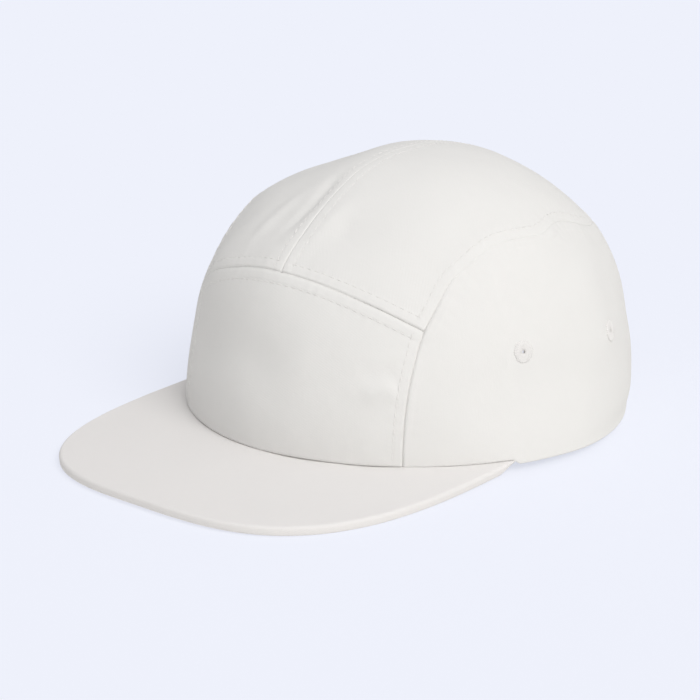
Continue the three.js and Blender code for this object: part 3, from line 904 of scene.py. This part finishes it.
# One ring, lying flat with its face towards +Z
def eyeletPattern(look):
    middle = (look["outside"] + look["hole"]) / 2
    half = (look["outside"] - look["hole"]) / 2
    piece = addPrimitive("eyelet_pattern", bpy.ops.mesh.primitive_torus_add, major_radius=middle,
                         minor_radius=half, major_segments=look["stitches"] * look["segmentsEach"],
                         minor_segments=look["segmentsRound"])
    draw = np.random.default_rng(look["seed"])
    lengths = draw.uniform(-look["ragged"], look["ragged"], look["stitches"])
    for vert in piece.data.vertices:
        angle = math.atan2(vert.co.y, vert.co.x)
        reach = math.hypot(vert.co.x, vert.co.y)
        place = (angle / (2 * math.pi) % 1) * look["stitches"]
        ridge = abs(math.sin(math.pi * place)) ** look["ridgePower"]
        outward = (reach - middle) / half
        lift = vert.co.z / half
        spread = outward if outward > 0 else look["innerRidge"] * outward
        reach += look["ridge"] * (ridge - look["ridgeMean"]) * spread
        if outward > look["raggedFrom"]:
            reach += lengths[int(place) % look["stitches"]] * (outward - look["raggedFrom"])
        height = lift * (look["proud"] if lift > 0 else crown["cloth"] + look["through"])
        if lift > 0:
            height += look["ridge"] * (ridge - 0.5) * (1 - 0.5 * abs(outward))
        vert.co = Vector((reach * math.cos(angle), reach * math.sin(angle), height))
    return piece


def makeEyelets(look):
    pattern = eyeletPattern(look)
    for sideName, side in (("left", 1), ("right", -1)):
        panel = panels["side_cloth_" + sideName]
        for place, (turn, height) in eyelets.items():
            at = crownPoint(side * turn, riseAtHeight(side * turn, height))
            spot, out = panel["surface"].find_nearest(Vector(at))[:2]
            cutHole(panel["piece"], spot, out, look["punch"])
            piece = pattern.copy()
            piece.data = pattern.data.copy()
            piece.name = piece.data.name = "eyelet_stitches_" + sideName + "_" + place
            bpy.context.collection.objects.link(piece)
            turned = out.to_track_quat("Z", "Y").to_matrix().to_4x4()
            piece.data.transform(Matrix.Translation(spot) @ turned)
            smooth(piece.data)
    bpy.data.objects.remove(pattern)


makeEyelets(eyeletLook)
print("eyelets stitched")

# ---- topstitching: rows of short threads that dip into the cloth at both ends

thread = {
    "length": 0.0025,
    "gap": 0.0008,
    "radius": 0.00017,
    "lift": 0.00007,
    "rings": 5,
    "sides": 6,
    "clear": 0.0016,          # a row stops this far from the panel's other edges
    "stray": 0.35,            # share of its distance by which a row may miss its place
    "archPower": 0.6,
    "archHeight": 1.5,
    "sink": 0.9,
    "endWidth": 0.55,
    "swell": 0.45,
}


# Points of a row that runs beside an edge of a panel
def rowBeside(panel, edgeName, look):
    curve, outs, distance = panel["edges"][edgeName]
    surface = panel["surface"]
    tangents = unit(np.gradient(curve, axis=0))
    points, normals = [], []
    others = [panel["edges"][name][0] for name in panel["edges"] if name != edgeName]
    middle = np.mean([edge[0].mean(0) for edge in panel["edges"].values()], 0)
    for place, tangent, out in zip(curve, tangents, outs):
        aside = unit(np.cross(out, tangent))
        if aside @ (middle - place) < 0:
            aside = -aside
        spot, normal = surface.find_nearest(Vector(place + aside * distance))[:2]
        spot = np.array(spot)
        isClear = all(np.min(np.linalg.norm(other - spot, axis=1)) >= look["clear"] for other in others)
        if isClear and abs(np.linalg.norm(spot - place) - distance) <= look["stray"] * distance:
            points.append(spot)
            normals.append(np.array(normal))
    return np.array(points), np.array(normals)


def threadMesh(rows, look):
    ringCount, sides = look["rings"], look["sides"]
    verts, faces = [], []
    for points, normals in rows:
        lengths = runLengths(points)
        pitch = look["length"] + look["gap"]
        count = int(lengths[-1] / pitch)
        spare = (lengths[-1] - count * pitch + look["gap"]) / 2
        for k in range(count):
            shares = np.linspace(0, 1, ringCount)
            at = spare + k * pitch + shares * look["length"]
            centre = np.stack([np.interp(at, lengths, points[:, j]) for j in range(3)], -1)
            out = unit(np.stack([np.interp(at, lengths, normals[:, j]) for j in range(3)], -1))
            along = unit(centre[-1] - centre[0])
            aside = unit(np.cross(out, along))
            arch = np.sin(np.pi * shares) ** look["archPower"]
            centre = centre + out * (look["lift"] * (look["archHeight"] * arch - look["sink"]))[:, None]
            radius = look["radius"] * (look["endWidth"] + look["swell"] * arch)
            start = len(verts)
            for i in range(ringCount):
                for j in range(sides):
                    angle = 2 * math.pi * j / sides
                    away = math.cos(angle) * aside[i] + math.sin(angle) * out[i]
                    verts.append(centre[i] + radius[i] * away)
                    if i < ringCount - 1:
                        a, b = start + i * sides + j, start + i * sides + (j + 1) % sides
                        faces.append((a, b, b + sides, a + sides))
            faces.append(tuple(start + j for j in reversed(range(sides))))
            faces.append(tuple(start + (ringCount - 1) * sides + j for j in range(sides)))
    return np.array(verts), faces


# The edges of each panel that have a row beside them
stitchRows = {"stitching_front": ("front_cloth", ("top", "left", "right"))}
for part, rowEdges in (("top", ("front", "centre", "side")), ("side", ("back", "opening"))):
    for side in ("left", "right"):
        stitchRows["stitching_" + part + "_" + side] = (part + "_cloth_" + side, rowEdges)
stitchRows["stitching_strap"] = ("strap_cloth", ("low", "high"))


def makeStitching(name, panel, rowEdges):
    verts, faces = threadMesh([rowBeside(panels[panel], edge, thread) for edge in rowEdges], thread)
    piece = meshPiece(name, verts, faces)
    editAll(piece, bpy.ops.mesh.normals_make_consistent, inside=False)
    print(name, len(verts) // (thread["rings"] * thread["sides"]), "stitches")


for name, (panel, rowEdges) in stitchRows.items():
    makeStitching(name, panel, rowEdges)

# Walls of the cloth
wallOf = {"sweatband_cloth": bands["sweatCloth"], "strap_cloth": bands["strapCloth"]}
for name, panel in panels.items():
    editAll(panel["piece"], bpy.ops.mesh.remove_doubles, threshold=1e-6)
    thicken(panel["piece"], wallOf.get(name, crown["cloth"]))
print("walls and stitching made")

# ---- materials

# wale: width of a twill line, at an angle in degrees across the cloth. depth: how deep the weave is.
twills = {
    "crown_twill": {"colour": (0.812, 0.806, 0.787), "wale": 0.00056, "angle": 62, "depth": 0.000050},
    "brim_twill": {"colour": (0.815, 0.797, 0.782), "wale": 0.00056, "angle": 62, "depth": 0.000045},
    "band_cotton": {"colour": (0.80, 0.785, 0.765), "wale": 0.00050, "angle": -58, "depth": 0.000050},
    "strap_twill": {"colour": (0.81, 0.795, 0.775), "wale": 0.00056, "angle": 62, "depth": 0.000050},
}
# Tones are shares of the colour, weights say how much each pattern moves the tone, and each bump has a
# strength and a depth
twillLook = {
    "surface": {"Roughness": 0.92, "Specular IOR Level": 0.1, "Sheen Weight": 0.04, "Sheen Roughness": 0.5},
    "waleScale": 0.31416,
    "waleWave": {"Distortion": 2.6, "Detail": 2.0, "Detail Scale": 0.7},
    "threadScale": (2600, 190, 1),
    "grain": {"Scale": 1.0, "Detail": 3.0, "Roughness": 0.6},
    "cloud": {"Scale": 34.0, "Detail": 4.0, "Roughness": 0.55},
    "creases": {"Scale": 150.0, "Detail": 2.0},
    "tones": (0.965, 1.025),
    "waleWeight": 0.35,
    "grainWeight": 0.5,
    "cloudWeight": 0.35,
    "weaveStrength": 0.5,
    "fibreStrength": 0.7,
    "fibreShare": 0.8,
    "crumple": (0.2, 0.0003),
}
threadLook = {
    "colour": (0.81, 0.796, 0.78),
    "surface": {"Roughness": 0.7, "Specular IOR Level": 0.3, "Sheen Weight": 0.15},
    "twist": {"Scale": 5200.0, "Detail": 2.0},
    "tones": (0.94, 1.04),
    "ply": (0.5, 0.00005),
}
plasticLook = {
    "colour": (0.74, 0.735, 0.72),
    "grain": {"Scale": 1400.0, "Detail": 3.0},
    "roughness": {"To Min": 0.38, "To Max": 0.55},
    "tones": (0.97, 1),
    "skin": (0.25, 0.00004),
}


def setInputs(made, values):
    for key, value in values.items():
        made.inputs[key].default_value = value
    return made


def newMaterial(name, surface):
    material = bpy.data.materials.new(name)
    material.use_nodes = True
    tree = material.node_tree
    return material, tree, setInputs(tree.nodes["Principled BSDF"], surface)


def addPattern(tree, kind, place, values):
    made = setInputs(tree.nodes.new(kind), values)
    tree.links.new(place, made.inputs["Vector"])
    return made.outputs["Fac"]


# Weighs one pattern and adds the rest to it
def addWeight(tree, pattern, weight, rest=None):
    made = tree.nodes.new("ShaderNodeMath")
    made.operation = "MULTIPLY_ADD" if rest else "MULTIPLY"
    made.inputs[1].default_value = weight
    tree.links.new(pattern, made.inputs[0])
    if rest:
        tree.links.new(rest, made.inputs[2])
    return made.outputs[0]


def addTones(tree, shader, amount, colour, tones):
    made = tree.nodes.new("ShaderNodeMix")
    made.data_type = "RGBA"
    for k, share in enumerate(tones):
        made.inputs[6 + k].default_value = tuple(min(1, c * share) for c in colour) + (1,)
    tree.links.new(amount, made.inputs[0])
    tree.links.new(made.outputs[2], shader.inputs["Base Color"])


def addBump(tree, height, strength, depth, under=None):
    made = setInputs(tree.nodes.new("ShaderNodeBump"), {"Strength": strength, "Distance": depth})
    tree.links.new(height, made.inputs["Height"])
    if under:
        tree.links.new(under, made.inputs["Normal"])
    return made.outputs["Normal"]


def twillMaterial(name, twill, look):
    material, tree, shader = newMaterial(name, look["surface"])
    cloth = tree.nodes.new("ShaderNodeUVMap")
    cloth.uv_map = "cloth"
    place = tree.nodes.new("ShaderNodeTexCoord").outputs["Object"]
    turned, threads = (tree.nodes.new("ShaderNodeMapping") for _ in range(2))
    turned.inputs["Rotation"].default_value = (0, 0, math.radians(twill["angle"]))
    threads.inputs["Scale"].default_value = look["threadScale"]
    for mapping in (turned, threads):
        tree.links.new(cloth.outputs["UV"], mapping.inputs["Vector"])
    wave = dict(look["waleWave"], Scale=look["waleScale"] / twill["wale"])
    wales = addPattern(tree, "ShaderNodeTexWave", turned.outputs["Vector"], wave)
    grain = addPattern(tree, "ShaderNodeTexNoise", threads.outputs["Vector"], look["grain"])
    cloud = addPattern(tree, "ShaderNodeTexNoise", place, look["cloud"])
    creases = addPattern(tree, "ShaderNodeTexNoise", place, look["creases"])
    amount = addWeight(tree, cloud, look["cloudWeight"])
    amount = addWeight(tree, grain, look["grainWeight"], amount)
    amount = addWeight(tree, wales, look["waleWeight"], amount)
    addTones(tree, shader, amount, twill["colour"], look["tones"])
    weave = addBump(tree, wales, look["weaveStrength"], twill["depth"])
    fibre = addBump(tree, grain, look["fibreStrength"], twill["depth"] * look["fibreShare"], weave)
    tree.links.new(addBump(tree, creases, *look["crumple"], fibre), shader.inputs["Normal"])
    return material


def threadMaterial(name, look):
    material, tree, shader = newMaterial(name, look["surface"])
    place = tree.nodes.new("ShaderNodeTexCoord").outputs["Object"]
    twist = addPattern(tree, "ShaderNodeTexNoise", place, look["twist"])
    addTones(tree, shader, twist, look["colour"], look["tones"])
    tree.links.new(addBump(tree, twist, *look["ply"]), shader.inputs["Normal"])
    return material


def plasticMaterial(name, look):
    material, tree, shader = newMaterial(name, {})
    place = tree.nodes.new("ShaderNodeTexCoord").outputs["Object"]
    grain = addPattern(tree, "ShaderNodeTexNoise", place, look["grain"])
    rough = setInputs(tree.nodes.new("ShaderNodeMapRange"), look["roughness"])
    tree.links.new(grain, rough.inputs["Value"])
    tree.links.new(rough.outputs[0], shader.inputs["Roughness"])
    addTones(tree, shader, grain, look["colour"], look["tones"])
    tree.links.new(addBump(tree, grain, *look["skin"]), shader.inputs["Normal"])
    return material


materials = {name: twillMaterial(name, twill, twillLook) for name, twill in twills.items()}
materials["eyelet_thread"] = threadMaterial("eyelet_thread", threadLook)
materials["buckle_plastic"] = plasticMaterial("buckle_plastic", plasticLook)


def dress(name, look, *nodes):
    piece = bpy.data.objects[name]
    piece.data.materials.clear()
    piece.data.materials.append(materials[look])
    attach(piece, "root")
    if nodes:
        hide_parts(*nodes)


dress("front_cloth", "crown_twill", "front_panel")
for side in ("left", "right"):
    dress("side_cloth_" + side, "crown_twill", "side_panel_" + side)
    dress("top_cloth_" + side, "crown_twill", "top_panel_" + side)
dress("brim_cover", "brim_twill", "brim")
dress("sweatband_cloth", "band_cotton", "sweatband")
dress("strap_cloth", "strap_twill", "back_strap")
dress("buckle_sleeve", "buckle_plastic", "strap_buckle")
for side in ("left", "right"):
    for place in eyelets:
        dress("eyelet_stitches_" + side + "_" + place, "eyelet_thread", "eyelet_" + side + "_" + place)
for name in stitchRows:
    dress(name, "eyelet_thread")
print("materials given")

# ---- studio

studio = {
    "floorSize": 800,
    "floorColour": (0.340, 0.340, 0.340),
    "floorGlow": (0.542, 0.566, 0.652),
    "floorBounce": (0.567, 0.560, 0.550),
    "cardDepth": 0.0002,
    "horizonGlow": (0.03, 0.03, 0.032),
    "overheadGlow": (0.70, 0.70, 0.715),
    "backdrop": (0.855, 0.879, 0.965),
    "keyAzimuth": 70,         # degrees round from the front, towards the wearer's left
    "keyElevation": 43,
    "keyStrength": 1.65,
    "keyAngle": 40,
    "keyColour": (1.0, 0.985, 0.965),
}


# A level plane of the stage that glows a little by itself
def layPlane(name, look, height, glow):
    plane = addPrimitive(name, bpy.ops.mesh.primitive_plane_add, size=look["floorSize"],
                         location=(0, 0, height))
    material = newMaterial(name, {
        "Base Color": look["floorColour"] + (1,), "Roughness": 1, "Specular IOR Level": 0,
        "Emission Color": glow + (1,), "Emission Strength": 1})[0]
    plane.data.materials.append(material)
    return plane


# The camera sees the floor, and the cloth is lit by a neutral card just under it, so the floor's tint stays
# off the cloth.
def makeStudio(look):
    scene = bpy.context.scene
    scene.view_settings.view_transform = "Standard"
    scene.view_settings.look = "None"
    world = bpy.data.worlds.new("studio")
    scene.world = world
    world.use_nodes = True
    tree = world.node_tree
    link = tree.links.new
    place = tree.nodes.new("ShaderNodeTexCoord")
    split = tree.nodes.new("ShaderNodeSeparateXYZ")
    link(place.outputs["Generated"], split.inputs[0])
    up, climbing = (tree.nodes.new("ShaderNodeMath") for _ in range(2))
    up.operation, climbing.operation = "MAXIMUM", "SQRT"
    up.inputs[1].default_value = 0
    link(split.outputs["Z"], up.inputs[0])
    link(up.outputs[0], climbing.inputs[0])
    dome, seen = (tree.nodes.new("ShaderNodeMix") for _ in range(2))
    dome.data_type = seen.data_type = "RGBA"
    dome.inputs[6].default_value = look["horizonGlow"] + (1,)
    dome.inputs[7].default_value = look["overheadGlow"] + (1,)
    link(climbing.outputs[0], dome.inputs[0])
    rays = tree.nodes.new("ShaderNodeLightPath")
    seen.inputs[7].default_value = look["backdrop"] + (1,)
    link(rays.outputs["Is Camera Ray"], seen.inputs[0])
    link(dome.outputs[2], seen.inputs[6])
    link(seen.outputs[2], tree.nodes["Background"].inputs["Color"])
    floor = layPlane("floor", look, 0, look["floorGlow"])
    card = layPlane("bounce_card", look, -look["cardDepth"], look["floorBounce"])
    card.visible_camera = False
    floor.visible_diffuse = floor.visible_glossy = floor.visible_transmission = floor.visible_shadow = False
    lamp = bpy.data.lights.new("key", "SUN")
    lamp.energy = look["keyStrength"]
    lamp.angle = math.radians(look["keyAngle"])
    lamp.color = look["keyColour"]
    key = bpy.data.objects.new("key", lamp)
    bpy.context.collection.objects.link(key)
    key.rotation_mode = "QUATERNION"
    toward = pointing(math.radians(look["keyAzimuth"]), math.radians(look["keyElevation"]))
    key.rotation_quaternion = toward.to_track_quat("Z", "Y")


makeStudio(studio)
